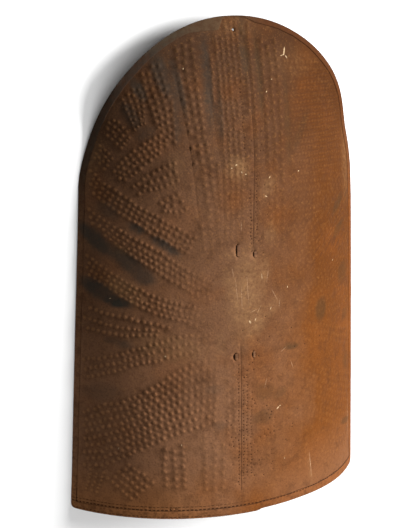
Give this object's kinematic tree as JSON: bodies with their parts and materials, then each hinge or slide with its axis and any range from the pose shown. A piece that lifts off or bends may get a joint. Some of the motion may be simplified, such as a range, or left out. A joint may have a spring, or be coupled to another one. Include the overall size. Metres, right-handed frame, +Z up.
{
  "type": "iron shield",
  "caption": "Tall hammered iron shield bent round its long axis, with an arched top that curls back, a folded border, and a forged grip clenched through slots.",
  "frame": {"origin": "middle of the footprint, on the surface that the shield lies on", "axes": "+Y from the straight foot to the peak, +Z up out of the hammered face, +X to the right as the face is looked at with the peak up"},
  "size_m": [0.7158, 1.1036, 0.1867],
  "materials": {
    "plate_iron": "hammered sheet with a brown rust patina, soot stains and rubbed bosses",
    "grip_iron": "forged strap, dark and rubbed on the edges"
  },
  "bodies": {
    "root": {"shield_plate": "plate_iron", "grip": "grip_iron"}
  },
  "joints": []
}
